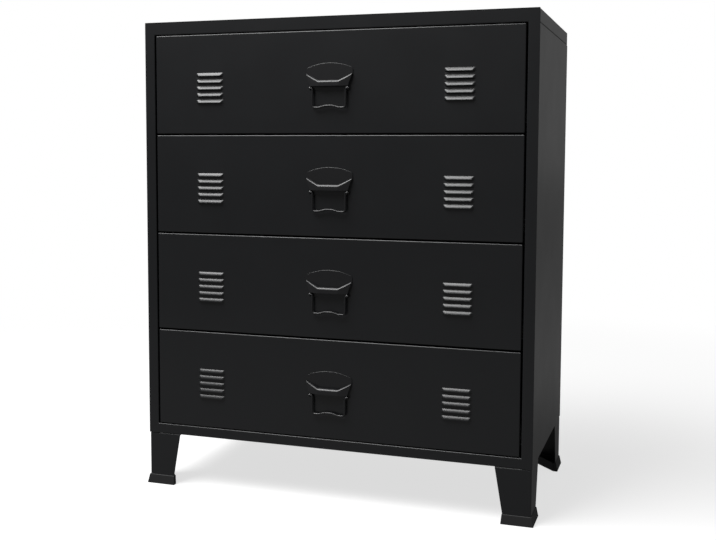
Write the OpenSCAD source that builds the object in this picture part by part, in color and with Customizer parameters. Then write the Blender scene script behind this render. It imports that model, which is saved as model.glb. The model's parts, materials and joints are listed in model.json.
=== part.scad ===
// Four-drawer sheet steel cabinet on four flared legs.
// X runs to the right, Y to the back and Z up. The origin is on the floor, under the middle of the body.

/* [Body] */
// Width of the body
cabinet_w = 780; // [640:10:1000]
// Depth of the body
cabinet_d = 400; // [380:10:600]
// Height from the floor to the top
cabinet_h = 930; // [860:10:1200]
// Thickness of the casing's sheet
sheet = 0.8; // [0.6:0.1:1.0]
// Height of the skirt folded down round the top panel
skirt_h = 25; // [20:1:40]
// Width of the flanges folded in along the side panels
side_flange_w = 15; // [12:1:18]
// Width of the side panels' bottom flanges, which the legs are bolted to
bottom_flange_w = 30; // [24:1:40]

/* [Front frame] */
// Thickness of the frame's sheet
frame_t = 1.0; // [0.8:0.1:1.5]
// Width of each stile
stile_w = 21; // [19:1:30]
// Height of the rail over the drawers
top_rail_h = 25; // [20:1:40]
// Height of the rail under the drawers
bottom_rail_h = 20; // [12:1:40]
// Depth of the folds round the opening
frame_fold_d = 40; // [35:1:60]

/* [Legs and feet] */
// Height of the legs under the body
leg_h = 105; // [80:5:160]
// How far the legs are set in from the body's sides
leg_inset_x = 1; // [0:0.5:4]
// How far the legs are set in from the body's front and back
leg_inset_y = 0.5; // [0:0.5:4]
// Thickness of the legs' sheet
leg_t = 1.5; // [1.2:0.1:2.5]
// Width of a leg's front plate at the body
leg_front_top_w = 68; // [60:1:90]
// Width of a leg's front plate at the foot
leg_front_low_w = 53; // [40:1:58]
// Width of a leg's side plate at the body
leg_side_top_w = 80; // [70:1:100]
// Width of a leg's side plate at the foot
leg_side_low_w = 58; // [40:1:68]
// Height of a foot cap
foot_h = 18; // [16:1:30]
// How far a foot cap stands out from the leg at the floor
foot_flare = 5; // [3:0.5:8]
// How far a foot cap stands out from the leg at its top
foot_wall = 1.5; // [0.8:0.1:2.5]
// Wall of a foot cap on the inside of the leg
foot_inner_wall = 3; // [2:0.5:5]
// Thickness of a foot cap under the leg
foot_floor = 9; // [5:1:12]

/* [Drawers] */
// Gap between one drawer front and the next
front_gap = 3; // [2:0.5:5]
// Gap between a drawer front and a stile
front_side_gap = 3; // [2:0.5:5]
// Depth of the folded drawer front
front_d = 18; // [14:1:24]
// Height of a tray's sides
tray_h = 140; // [100:5:150]
// Height of a tray's floor over the bottom of its front
tray_rise = 12; // [8:1:16]
// Width of the rim folded in round a tray
tray_rim_w = 8; // [5:1:12]
// Space behind a tray
tray_back_gap = 35; // [30:1:60]

/* [Runners] */
// Room for the runners on each side of a tray
runner_room = 13; // [12.5:0.1:16]
// Thickness of the runners' steel
runner_t = 1.2; // [1.0:0.1:1.3]
// Radius of the rollers
roller_r = 9; // [7:0.5:10]
// Radius of the rollers' axles
axle_r = 3; // [2.5:0.1:4]
// Height of a runner's track over the bottom of its drawer front
track_rise = 20; // [16:1:30]

/* [Louvres] */
// Number of louvres in a group
louvre_count = 5; // [3:1:6]
// Length of a louvre
louvre_l = 59; // [40:1:80]
// Distance from one louvre to the next
louvre_pitch = 13; // [11:0.5:15]
// Height of a louvre's hood
louvre_h = 7; // [5:0.5:9]
// How far a louvre stands out
louvre_out = 4; // [3:0.5:6]
// Distance of each group's middle from the cabinet's middle
louvre_x = 248.5; // [150:0.5:260]
// Height of the top louvre over the middle of a drawer front
louvre_top = 22; // [10:1:30]

/* [Handle] */
// Half the width of the handle's hood
hood_half_w = 46; // [44:1:60]
// Half the width of the hood's front facet
hood_mid_half_w = 20; // [14:1:30]
// How far the front facet stands out
hood_out = 12; // [11:0.5:18]
// How far the hood's ends stand out
hood_end_out = 5.5; // [4:0.5:8]
// Thickness of the hood's sheet
hood_t = 1.2; // [0.8:0.1:1.5]
// Thickness of the handle's back plate
plate_t = 1.5; // [1:0.1:2]
// Thickness of the bail's bar
bail_t = 4; // [3:0.1:4.5]
// Half the distance between the middles of the bail's legs
bail_half_w = 33; // [26:1:34]
// Length of the bail from its pivot to the middle of its lower bar
bail_drop = 36; // [28:1:50]
// Distance of the bail's pivot from the drawer front
pivot_out = 6; // [5.5:0.1:7]

/* [Hidden] */
$fn = 48;
drawer_count = 4;
DRAWERS = [1:drawer_count];
CASING_NODES = [
    "top_panel", "side_panel_left", "side_panel_right", "back_panel", "bottom_panel", "front_frame",
    "rear_upright_left", "rear_upright_right",
    "leg_front_left", "leg_front_right", "leg_rear_left", "leg_rear_right",
    "foot_front_left", "foot_front_right", "foot_rear_left", "foot_rear_right",
    "panel_screws", "leg_bolts", "runner_screws"];
DRAWER_NODES = [
    "drawer_front", "drawer_tray", "handle_plate", "handle_hood", "handle_bail", "drawer_runners",
    "cabinet_runners", "cabinet_rollers", "drawer_rollers", "drawer_fasteners"];

// Colours of the finishes
coat_black = [0.13, 0.13, 0.14];
plastic_black = [0.08, 0.08, 0.08];
zinc = [0.66, 0.67, 0.68];
nylon_white = [0.9, 0.9, 0.87];

// Clearances
seam = 0.4;            // open seam between the top's skirt and a side panel
panel_fit = 0.3;       // round the edges of the back and bottom panels
hole_fit = 0.1;        // between a fixing and its hole
slot_fit = 0.1;        // between a leg and the slot in its foot
bearing_fit = 0.05;    // between an axle or pin and its bore
rolling_gap = 0.3;     // between a roller and the steel that it rolls on
lift_play = 0.7;       // over the drawer runner's flange
side_play = 0.8;       // between the two runners
stop_gap = 0.3;        // between a closed drawer front and the ends of its runners

// Casing
side_x = cabinet_w / 2;
front_y = -cabinet_d / 2;
back_y = cabinet_d / 2;
skirt_z = cabinet_h - skirt_h;
side_top_z = skirt_z - seam;
inner_x = side_x - sheet;
leg_x = side_x - leg_inset_x;
leg_y = front_y + leg_inset_y;
back_sheet_y = back_y - sheet;
frame_back_y = front_y + frame_t;
floor_z = leg_h + sheet;

// Frame opening and drawer fronts
open_x = side_x - stile_w;
open_low_z = leg_h + bottom_rail_h;
open_high_z = cabinet_h - top_rail_h;
drawer_pitch = (open_high_z - open_low_z) / drawer_count;
front_h = drawer_pitch - front_gap;
front_half_w = open_x - front_side_gap;
front_back_y = front_y + front_d;
front_lip_w = 26;
front_edge_lip_w = 12;
function front_z(i) = open_high_z - i * drawer_pitch + front_gap / 2;
function middle_z(i) = front_z(i) + front_h / 2;

// Trays and runners
tray_x = open_x - runner_room;
tray_back_y = back_y - tray_back_gap;
web_in_x = open_x - runner_t;
drawer_web_x = tray_x + runner_t;
flange_edge_x = drawer_web_x + side_play;
roller_side_gap = 1.5;
roller_low_x = drawer_web_x + roller_side_gap;
roller_high_x = web_in_x - roller_side_gap;
axle_head_t = 0.6;
axle_head_gap = 0.2;
runner_front_y = front_back_y + stop_gap;
front_roller_inset = 13.7;
rear_roller_inset = 15;
front_roller_y = runner_front_y + front_roller_inset;
rear_roller_y = tray_back_y - rear_roller_inset;
stop_reserve = 50;
drawer_travel = rear_roller_y - front_roller_y - 2 * roller_r - stop_reserve;
stop_tab_h = 5;
stop_tab_t = 2;
tab_w = 20;
tab_rise = 36;
drawer_web_h = 22;
runner_rivet_rise = 32;
runner_screw_rise = 29;
function track_z(i) = front_z(i) + track_rise;
function roller_z(i) = track_z(i) + rolling_gap + roller_r;
function flange_z(i) = roller_z(i) + roller_r + rolling_gap;
function channel_top_z(i) = flange_z(i) + runner_t + lift_play;

// Rear uprights
upright_front_y = tray_back_y;
upright_w = 30;
upright_back_y = upright_front_y + upright_w;
runner_end_inset = 5;
runner_back_y = upright_back_y - runner_end_inset;
upright_t = 1;

// How far a foot cap's ends lean out at the floor
foot_end_flare = 2.5;

// Fixings
screw_r = 1.9;
screw_head_r = 3.5;
screw_head_t = 1.2;
panel_screw_l = 4;
runner_screw_l = 5;
tray_screw_l = 6;
bolt_r = 3;
bolt_head_r = 5.5;
bolt_head_t = 4;
nut_t = 3.2;
bolt_x = side_x - 18;
bolt_inset = [46, 68];
tray_screw_x = tray_x - 8;
tray_screw_rises = [30, 130];

// Handle outline, measured from the middle of the drawer front
arch_top = 35.6;
arch_r = 112.7;
hood_end_top = 16;
hood_mid_top = 3;
hood_low = -8;
hood_low_half_w = hood_half_w - 7.5;
plate_low = -16;
pivot_drop = 12;
pin_r = 2;
ear_r = 3.5;
ear_t = 1.5;
ear_x = bail_half_w + bail_t / 2 + 1.5;
pin_end_x = ear_x + ear_t + 1.5;
bail_corner = 4;
bail_rise = 3.5;
bail_flat_x = 19.8;
bail_peak_x = 6.6;
stud_r = 2;
stud_l = 9;
stud_x = 25;
stud_rise = 19;

// A block between two opposite corners
module block(low, high) {
    translate(low) cube(high - low);
}

// The same shape on the left and the right
module both_sides() {
    children();
    mirror([1, 0, 0]) children();
}

// The same shape at the front and the back
module both_ends() {
    children();
    mirror([0, 1, 0]) children();
}

// A round bar along X or along Y, from a point
module bar_x(from, r, l) {
    translate(from) rotate([0, 90, 0]) cylinder(r = r, h = l);
}
module bar_y(from, r, l) {
    translate(from) rotate([-90, 0, 0]) cylinder(r = r, h = l);
}

// An outline in X and Z, given its thickness from one Y to another
module upright_plate(y0, y1) {
    translate([0, y1, 0]) rotate([90, 0, 0]) linear_extrude(y1 - y0) children();
}

// An outline in Y and Z, given its thickness from one X to another
module side_plate(x0, x1) {
    translate([x0, 0, 0]) rotate([90, 0, 90]) linear_extrude(x1 - x0) children();
}

// ---- Casing ----

// Heights of the screws that hold the back panel
back_screw_margin = 60;
back_screw_span = side_top_z - leg_h - 2 * back_screw_margin;
back_screw_zs = [for (k = [0:3]) leg_h + back_screw_margin + k * back_screw_span / 3];
back_screw_x = side_x - side_flange_w / 2;
skirt_screw_xs = [for (k = [-1:1]) k * cabinet_w / 3];
skirt_screw_z = skirt_z + skirt_h / 2;

// The bores for the back panel's screws, cut through everything from y0 to y1
module back_screw_bores(y0, y1) {
    for (z = back_screw_zs) both_sides()
        bar_y([back_screw_x, y0, z], screw_r + hole_fit, y1 - y0);
    for (x = skirt_screw_xs)
        bar_y([x, y0, skirt_screw_z], screw_r + hole_fit, y1 - y0);
}

module top_panel() {
    return_w = 12;
    color(coat_black) difference() {
        union() {
            block([-side_x, front_y, cabinet_h - sheet], [side_x, back_y, cabinet_h]);
            both_sides() {
                block([inner_x, frame_back_y, skirt_z], [side_x, back_y, cabinet_h]);
                block([side_x - return_w, frame_back_y, skirt_z],
                      [side_x, back_sheet_y - sheet - panel_fit, skirt_z + sheet]);
            }
            block([-side_x, back_sheet_y, skirt_z], [side_x, back_y, cabinet_h]);
        }
        back_screw_bores(back_y - 2 * sheet, back_y + sheet);
    }
}

module side_panel() {
    color(coat_black) difference() {
        union() {
            block([inner_x, frame_back_y, leg_h], [side_x, back_y, side_top_z]);
            block([side_x - side_flange_w, frame_back_y, floor_z + sheet],
                  [side_x, frame_back_y + sheet, side_top_z]);
            block([side_x - side_flange_w, back_sheet_y, leg_h], [side_x, back_y, side_top_z]);
            block([side_x - side_flange_w, frame_back_y, side_top_z - sheet],
                  [side_x, back_sheet_y - sheet - panel_fit, side_top_z]);
            block([side_x - bottom_flange_w, frame_back_y, leg_h], [side_x, back_y, floor_z]);
        }
        back_screw_bores(back_y - 2 * sheet, back_y + sheet);
        leg_bolt_bores();
    }
}

module back_panel() {
    color(coat_black) difference() {
        block([-inner_x + panel_fit, back_sheet_y - sheet, floor_z + sheet + panel_fit],
              [inner_x - panel_fit, back_sheet_y, cabinet_h - sheet - panel_fit]);
        back_screw_bores(back_y - 3 * sheet, back_y);
    }
}

module bottom_panel() {
    color(coat_black) difference() {
        block([-inner_x + panel_fit, frame_back_y + sheet + panel_fit, floor_z],
              [inner_x - panel_fit, back_sheet_y, floor_z + sheet]);
        leg_bolt_bores();
    }
}

// Welded face frame: two stiles and two rails, folded back round the opening
module front_frame() {
    low_fold_d = 15;
    stile_lip_w = stile_w - 6;     // ends short of the side panel
    stile_lip_cut = 5;             // under the top rail
    flange_gap = 1;                // from the side panels' bottom flanges
    fold_y = frame_back_y + frame_fold_d;
    color(coat_black) difference() {
        union() {
            block([-side_x, front_y, leg_h], [side_x, frame_back_y, cabinet_h - sheet]);
            block([-open_x - frame_t, front_y, open_low_z - frame_t],
                  [open_x + frame_t, fold_y, open_high_z + frame_t]);
            both_sides()
                block([open_x, fold_y - frame_t, open_low_z],
                      [open_x + stile_lip_w, fold_y, open_high_z - stile_lip_cut]);
            block([-side_x + bottom_flange_w + flange_gap, front_y, leg_h],
                  [side_x - bottom_flange_w - flange_gap, frame_back_y + low_fold_d, floor_z]);
        }
        block([-open_x, front_y - 1, open_low_z], [open_x, fold_y + 1, open_high_z]);
        runner_screw_bores();
    }
}

// Channel behind the drawers that carries the rear ends of the runners
module rear_upright() {
    low_z = floor_z + sheet;
    high_z = side_top_z - sheet;
    color(coat_black) difference() {
        union() {
            block([open_x, upright_front_y, low_z], [open_x + upright_t, upright_back_y, high_z]);
            block([open_x, upright_front_y, low_z], [inner_x, upright_front_y + upright_t, high_z]);
            block([open_x, upright_back_y - upright_t, low_z], [inner_x, upright_back_y, high_z]);
        }
        runner_screw_bores();
    }
}

// ---- Legs and feet ----

module leg_bolt_bores() {
    for (d = bolt_inset) both_sides() both_ends()
        translate([bolt_x, front_y + d, leg_h - 2 * leg_t])
            cylinder(r = bolt_r + hole_fit, h = 2 * leg_t + 3 * sheet);
}

// Outline of one plate of a leg, from its outer edge at 0 inwards
module leg_outline(top_w, low_w) {
    polygon([[0, foot_floor], [-low_w, foot_floor], [-low_w, foot_h], [-top_w, leg_h], [0, leg_h]]);
}

// The right front leg; the others mirror it
module leg() {
    color(coat_black) difference() {
        union() {
            translate([leg_x, 0, 0])
                upright_plate(leg_y, leg_y + leg_t) leg_outline(leg_front_top_w, leg_front_low_w);
            translate([0, leg_y, 0]) side_plate(leg_x - leg_t, leg_x)
                mirror([1, 0]) leg_outline(leg_side_top_w, leg_side_low_w);
            block([leg_x - leg_front_top_w, leg_y, leg_h - leg_t], [leg_x, leg_y + leg_side_top_w, leg_h]);
        }
        leg_bolt_bores();
    }
}

// Side view of a foot cap, from the leg's outer edge at 0 inwards
module foot_outline(leg_w) {
    end_wall = 0.5;
    polygon([[foot_flare, 0], [foot_wall, foot_h], [-leg_w - end_wall, foot_h], [-leg_w - foot_end_flare, 0]]);
}

// Plan of a foot cap from the leg's outer corner: an angle whose two ends are joined straight across
module foot_plan() {
    inside = leg_t + foot_inner_wall;
    front_end = leg_front_low_w + foot_end_flare;
    side_end = leg_side_low_w + foot_end_flare;
    polygon([[foot_flare, -foot_flare], [-front_end, -foot_flare], [-front_end, inside], [-inside, side_end],
             [foot_flare, side_end]]);
}

// Plan of the pocket in the angle of the leg
module foot_pocket() {
    inside = leg_t + foot_inner_wall;
    end_gap = 1.5;
    polygon([[-inside, inside], [end_gap - leg_front_low_w, inside], [-inside, leg_side_low_w - end_gap]]);
}

// The right front foot cap, with a slot for the leg's two plates
module foot() {
    reach = leg_front_low_w + leg_side_low_w;
    color(plastic_black) difference() {
        intersection() {
            translate([leg_x, 0, 0]) upright_plate(leg_y - reach, leg_y + reach)
                foot_outline(leg_front_low_w);
            translate([0, leg_y, 0]) side_plate(leg_x - reach, leg_x + reach)
                mirror([1, 0]) foot_outline(leg_side_low_w);
            translate([leg_x, leg_y, 0]) linear_extrude(foot_h) foot_plan();
        }
        translate([leg_x, leg_y, foot_floor]) linear_extrude(foot_h) foot_pocket();
        block([leg_x - leg_front_low_w - slot_fit, leg_y - slot_fit, foot_floor],
              [leg_x + slot_fit, leg_y + leg_t + slot_fit, foot_h + 1]);
        block([leg_x - leg_t - slot_fit, leg_y - slot_fit, foot_floor],
              [leg_x + slot_fit, leg_y + leg_side_low_w + slot_fit, foot_h + 1]);
    }
}

// ---- Fixings of the casing ----

// A pan-head screw along Y, whose head lies on the plane y = 0 and faces +Y
module pan_screw(l) {
    bar_y([0, -l, 0], screw_r, l + screw_head_t / 2);
    bar_y([0, 0, 0], screw_head_r, screw_head_t);
}

module panel_screws() {
    color(zinc) {
        for (z = back_screw_zs) both_sides() translate([back_screw_x, back_y, z]) pan_screw(panel_screw_l);
        for (x = skirt_screw_xs) translate([x, back_y, skirt_screw_z]) pan_screw(panel_screw_l);
    }
}

// A hexagon bolt up through a leg's flange and the floor, with its nut
module leg_bolt() {
    stack = leg_t + 2 * sheet;
    translate([0, 0, leg_h - leg_t - bolt_head_t]) cylinder(r = bolt_head_r, h = bolt_head_t, $fn = 6);
    translate([0, 0, leg_h - leg_t - 1]) cylinder(r = bolt_r, h = stack + nut_t + 2);
    translate([0, 0, leg_h - leg_t + stack]) cylinder(r = bolt_head_r, h = nut_t, $fn = 6);
}

module leg_bolts() {
    color(zinc) for (d = bolt_inset) both_sides() both_ends()
        translate([bolt_x, front_y + d, 0]) leg_bolt();
}

// Places of the screws at the two ends of every cabinet runner
runner_screw_ys = [runner_front_y + tab_w / 2, runner_back_y - tab_w / 2];

module runner_screw_bores() {
    for (i = DRAWERS) for (y = runner_screw_ys) both_sides()
        bar_x([web_in_x - 1, y, track_z(i) + runner_screw_rise], screw_r + hole_fit, runner_t + frame_t + 3);
}

module runner_screws() {
    color(zinc) for (i = DRAWERS) for (y = runner_screw_ys) both_sides()
        translate([web_in_x, y, track_z(i) + runner_screw_rise]) rotate([0, 0, 90]) pan_screw(runner_screw_l);
}

// ---- Drawers ----

// Elevation of a louvre's hood, measured down from its top edge, wide at the top
module louvre_face(inset) {
    end_slope = 5;
    polygon([[-louvre_l / 2 + inset, 0], [louvre_l / 2 - inset, 0],
             [louvre_l / 2 - end_slope - inset, -louvre_h], [-louvre_l / 2 + end_slope + inset, -louvre_h]]);
}

// Side view of a louvre's hood, as a wedge that stands out to the front
module louvre_wedge(inset) {
    polygon([[sheet, -inset], [0, -inset], [inset - louvre_out, -louvre_h], [sheet, -louvre_h]]);
}

// A solid louvre or, with an inset, the hollow behind it
module louvre(inset) {
    intersection() {
        upright_plate(-louvre_out, sheet) louvre_face(inset);
        side_plate(-louvre_l, louvre_l) louvre_wedge(inset);
    }
}

// Puts its children at every louvre of a drawer front
module at_louvres(i) {
    for (side = [-1, 1]) for (k = [0:louvre_count - 1])
        translate([side * louvre_x, front_y, middle_z(i) + louvre_top - k * louvre_pitch]) children();
}

module tray_screw_bores(i) {
    for (rise = tray_screw_rises) both_sides()
        bar_y([tray_screw_x, front_back_y - 2 * sheet, front_z(i) + rise], stud_r + hole_fit, 4 * sheet);
}

module stud_bores(i) {
    both_sides() bar_y([stud_x, front_y - 1, middle_z(i) + stud_rise], stud_r + hole_fit, sheet + 2);
}

// Folded front pan with its two groups of louvres
module drawer_front(i) {
    low = [-front_half_w, front_y, front_z(i)];
    high = [front_half_w, front_back_y, front_z(i) + front_h];
    wall = [sheet, 0, sheet];
    lip = [front_lip_w, 0, front_edge_lip_w];
    color(coat_black) difference() {
        union() {
            difference() {
                block(low, high);
                block(low + wall + [0, sheet, 0], high - wall - [0, sheet, 0]);
                block([low[0], front_back_y - 2 * sheet, low[2]] + lip, high + [0, 1, 0] - lip);
            }
            at_louvres(i) louvre(0);
        }
        at_louvres(i) translate([0, 0, -0.01]) louvre(sheet);
        stud_bores(i);
        tray_screw_bores(i);
    }
}

module drawer_tray(i) {
    low = [-tray_x, front_back_y, front_z(i) + tray_rise];
    high = [tray_x, tray_back_y, low[2] + tray_h];
    color(coat_black) difference() {
        block(low, high);
        block(low + [sheet, sheet, sheet], high - [sheet, sheet, sheet]);
        block(low + [tray_rim_w, sheet, tray_h / 2], high + [-tray_rim_w, -tray_rim_w, 1]);
        tray_screw_bores(i);
        runner_rivet_bores(i);
    }
}

// Places of the rivets between a tray and its runners
runner_rivet_ys = [for (k = [0:2]) front_back_y + 30 + k * (rear_roller_y - front_back_y - 60) / 2];

module runner_rivet_bores(i) {
    for (y = runner_rivet_ys) both_sides()
        bar_x([tray_x - 2 * sheet, y, track_z(i) + runner_rivet_rise], screw_r + hole_fit, 5);
}

// An axle for a roller, with a shoulder at its root and a head at its end, pointing along +X
module axle(root_x, end_x, roller_root_x) {
    shoulder_r = axle_r + 1.5;
    bar_x([root_x, 0, 0], axle_r, end_x - root_x);
    bar_x([root_x, 0, 0], shoulder_r, roller_root_x - axle_head_gap - root_x);
    bar_x([end_x - axle_head_t, 0, 0], shoulder_r, axle_head_t);
}

// The right angle rail on a tray: a web, a running flange and the drop for the rear axle
module drawer_runner(i) {
    drop_w = 24;
    difference() {
        union() {
            block([tray_x, front_back_y + 1, flange_z(i)],
                  [drawer_web_x, tray_back_y, flange_z(i) + drawer_web_h]);
            block([tray_x, front_back_y + 1, flange_z(i)],
                  [roller_high_x, rear_roller_y - roller_r - 2, flange_z(i) + runner_t]);
            block([tray_x, rear_roller_y - drop_w / 2, roller_z(i) - axle_r - 3],
                  [drawer_web_x, rear_roller_y + drop_w / 2, flange_z(i) + drawer_web_h]);
            translate([0, rear_roller_y, roller_z(i)])
                axle(drawer_web_x, roller_high_x + axle_head_gap + axle_head_t, roller_low_x);
        }
        runner_rivet_bores(i);
    }
}

// The right channel on the cabinet: a web with two flanges, end tabs, a stop and the front axle
module cabinet_runner(i) {
    low = [flange_edge_x, runner_front_y, track_z(i) - runner_t];
    high = [open_x, runner_back_y, channel_top_z(i) + runner_t];
    tab_z = track_z(i) + tab_rise;
    roller_drop = roller_z(i) - track_z(i) - stop_tab_h;
    stop_y = rear_roller_y - drawer_travel - sqrt(roller_r * roller_r - roller_drop * roller_drop) - stop_gap;
    difference() {
        union() {
            difference() {
                block(low, high);
                block([low[0] - 1, low[1] - 1, track_z(i)], [web_in_x, high[1] + 1, channel_top_z(i)]);
            }
            block([web_in_x, runner_front_y, track_z(i)], [open_x, runner_front_y + tab_w, tab_z]);
            block([web_in_x, runner_back_y - tab_w, track_z(i)], [open_x, runner_back_y, tab_z]);
            block([roller_low_x, stop_y - stop_tab_t, track_z(i) - runner_t / 2],
                  [roller_high_x, stop_y, track_z(i) + stop_tab_h]);
            translate([drawer_web_x + open_x - runner_t, front_roller_y, roller_z(i)]) mirror([1, 0, 0])
                axle(drawer_web_x, roller_high_x + axle_head_gap + axle_head_t, roller_low_x);
        }
        runner_screw_bores();
    }
}

module drawer_runners(i) {
    color(zinc) both_sides() drawer_runner(i);
}

module cabinet_runners(i) {
    color(zinc) both_sides() cabinet_runner(i);
}

// A nylon roller with chamfered rims, along X
module roller() {
    w = roller_high_x - roller_low_x;
    rim = 0.8;
    translate([roller_low_x, 0, 0]) rotate([0, 90, 0]) rotate_extrude()
        polygon([[axle_r + bearing_fit, 0], [roller_r - rim, 0], [roller_r, rim],
                 [roller_r, w - rim], [roller_r - rim, w], [axle_r + bearing_fit, w]]);
}

module cabinet_rollers(i) {
    color(nylon_white) both_sides() translate([0, front_roller_y, roller_z(i)]) roller();
}

module drawer_rollers(i) {
    color(nylon_white) both_sides() translate([0, rear_roller_y, roller_z(i)]) roller();
}

// Screws and nuts of a tray and its front, nuts of the handle's studs, rivets of the runners
module drawer_fasteners(i) {
    rivet_head_t = 1;
    color(zinc) {
        for (rise = tray_screw_rises) both_sides()
            translate([tray_screw_x, front_back_y + sheet, front_z(i) + rise]) {
                pan_screw(tray_screw_l);
                translate([0, -2 * sheet, 0]) rotate([90, 0, 0]) cylinder(r = 4, h = nut_t, $fn = 6);
            }
        both_sides() translate([stud_x, front_y + sheet, middle_z(i) + stud_rise]) difference() {
            rotate([-90, 0, 0]) cylinder(r = 4, h = nut_t, $fn = 6);
            bar_y([0, -1, 0], stud_r + bearing_fit, nut_t + 2);
        }
        for (y = runner_rivet_ys) both_sides()
            translate([tray_x - sheet, y, track_z(i) + runner_rivet_rise]) {
                bar_x([-rivet_head_t, 0, 0], screw_r, sheet + runner_t + 2 * rivet_head_t);
                bar_x([-rivet_head_t, 0, 0], screw_head_r, rivet_head_t);
                bar_x([sheet + runner_t, 0, 0], screw_head_r, rivet_head_t);
            }
    }
}

// ---- Handle ----

// Moves its children from the middle of a drawer front's face
module at_handle(i) {
    translate([0, front_y, middle_z(i)]) children();
}

// Back plate with an arched top, two ears for the bail and two studs behind
module handle_plate(i) {
    color(coat_black) at_handle(i) {
        upright_plate(-plate_t, 0) intersection() {
            translate([0, arch_top - arch_r]) circle(r = arch_r, $fn = 180);
            polygon([[-hood_low_half_w, plate_low], [hood_low_half_w, plate_low], [hood_half_w, hood_end_top],
                     [hood_half_w, arch_top + 1], [-hood_half_w, arch_top + 1], [-hood_half_w, hood_end_top]]);
        }
        both_sides() difference() {
            union() {
                bar_x([ear_x, -pivot_out, -pivot_drop], ear_r, ear_t);
                block([ear_x, -pivot_out, -pivot_drop - ear_r], [ear_x + ear_t, -plate_t / 2, -pivot_drop + ear_r]);
            }
            bar_x([ear_x - 1, -pivot_out, -pivot_drop], pin_r + bearing_fit, ear_t + 2);
        }
        both_sides() bar_y([stud_x, -plate_t / 2, stud_rise], stud_r, stud_l);
    }
}

// Plan of the hood, open towards the plate; the inset follows the slanted facets
module hood_plan(inset) {
    slant = norm([hood_half_w - hood_mid_half_w, hood_out - hood_end_out]) / (hood_half_w - hood_mid_half_w);
    end_x = hood_half_w - inset;
    end_y = hood_end_out - inset * slant;
    corner_shift = inset / 4;
    mid_x = hood_mid_half_w - corner_shift;
    back = inset > 0 ? 0 : plate_t;
    polygon([[-end_x, -back], [-end_x, -end_y], [-mid_x, inset - hood_out],
             [mid_x, inset - hood_out], [end_x, -end_y], [end_x, -back]]);
}

// Elevation of the hood, with its ends drawn up
module hood_face(inset) {
    low_half_w = hood_low_half_w - inset;
    end_top = hood_end_top - 1.2 * inset;    // the slanted top edge moves down by more than the inset
    low = inset > 0 ? hood_low - 1 : hood_low;
    polygon([[-low_half_w, low], [low_half_w, low], [hood_half_w - inset, end_top],
             [hood_mid_half_w, hood_mid_top - inset], [-hood_mid_half_w, hood_mid_top - inset],
             [inset - hood_half_w, end_top]]);
}

module hood_solid(inset) {
    intersection() {
        translate([0, 0, hood_low - 2]) linear_extrude(hood_end_top - hood_low + 4) hood_plan(inset);
        upright_plate(-hood_out - 1, 1) hood_face(inset);
    }
}

// Faceted hood over the bail's pivots
module handle_hood(i) {
    color(coat_black) at_handle(i) difference() {
        hood_solid(0);
        hood_solid(hood_t);
    }
}

// Outline of the bail round its middle line, at half a bar's thickness outside or inside
module bail_outline(off) {
    x = bail_half_w + off;
    low = -bail_drop - off;
    c = bail_corner + off / 2;
    cut = c * 0.3;                 // two short chamfers stand for each rounded corner
    polygon([[-x, bail_t / 2], [-x, low + c], [-x + cut, low + cut], [-x + c, low], [-bail_flat_x, low],
             [-bail_peak_x, low + bail_rise], [bail_peak_x, low + bail_rise], [bail_flat_x, low],
             [x - c, low], [x - cut, low + cut], [x, low + c], [x, bail_t / 2]]);
}

// Swinging pull, sprung into the ears of the plate
module handle_bail(i) {
    color(coat_black) at_handle(i) translate([0, -pivot_out, -pivot_drop]) {
        upright_plate(-bail_t / 2, bail_t / 2) difference() {
            bail_outline(bail_t / 2);
            translate([0, 0.01]) bail_outline(-bail_t / 2);
        }
        both_sides() bar_x([bail_half_w, 0, 0], pin_r, pin_end_x - bail_half_w);
    }
}

// ---- Every piece, one at a time or all together ----

top_panel();
side_panel();  // side_panel_right
mirror([1, 0, 0]) side_panel();  // side_panel_left
back_panel();
bottom_panel();
front_frame();
rear_upright();  // rear_upright_right
mirror([1, 0, 0]) rear_upright();  // rear_upright_left
leg();  // leg_front_right
mirror([1, 0, 0]) leg();  // leg_front_left
mirror([0, 1, 0]) leg();  // leg_rear_right
mirror([0, 1, 0]) mirror([1, 0, 0]) leg();  // leg_rear_left
foot();  // foot_front_right
mirror([1, 0, 0]) foot();  // foot_front_left
mirror([0, 1, 0]) foot();  // foot_rear_right
mirror([0, 1, 0]) mirror([1, 0, 0]) foot();  // foot_rear_left
panel_screws();
leg_bolts();
runner_screws();
for (i = DRAWERS) {
    drawer_front(i);
    drawer_tray(i);
    handle_plate(i);
    handle_hood(i);
    handle_bail(i);
    drawer_runners(i);
    cabinet_runners(i);
    cabinet_rollers(i);
    drawer_rollers(i);
    drawer_fasteners(i);
}
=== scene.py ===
"""A black steel chest of four drawers, given its folds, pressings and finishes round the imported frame."""

import json
import math

import bmesh
import bpy
from mathutils import Matrix, Vector


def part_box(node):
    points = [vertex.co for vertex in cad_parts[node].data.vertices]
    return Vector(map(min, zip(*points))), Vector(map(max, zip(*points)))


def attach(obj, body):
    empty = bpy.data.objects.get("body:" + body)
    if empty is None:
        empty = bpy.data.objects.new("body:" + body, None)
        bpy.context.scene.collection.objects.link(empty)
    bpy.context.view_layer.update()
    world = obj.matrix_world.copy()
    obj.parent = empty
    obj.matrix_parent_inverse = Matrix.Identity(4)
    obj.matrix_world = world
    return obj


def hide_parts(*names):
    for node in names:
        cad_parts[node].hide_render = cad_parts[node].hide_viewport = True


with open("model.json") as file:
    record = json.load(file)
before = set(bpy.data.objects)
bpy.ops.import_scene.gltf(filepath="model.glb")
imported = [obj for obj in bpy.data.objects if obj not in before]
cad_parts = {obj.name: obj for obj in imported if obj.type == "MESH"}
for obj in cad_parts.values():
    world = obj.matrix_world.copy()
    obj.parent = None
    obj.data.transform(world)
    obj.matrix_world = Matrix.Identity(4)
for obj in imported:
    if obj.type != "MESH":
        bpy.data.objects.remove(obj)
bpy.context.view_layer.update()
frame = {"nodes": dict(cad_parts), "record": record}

MM = 0.001
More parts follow.
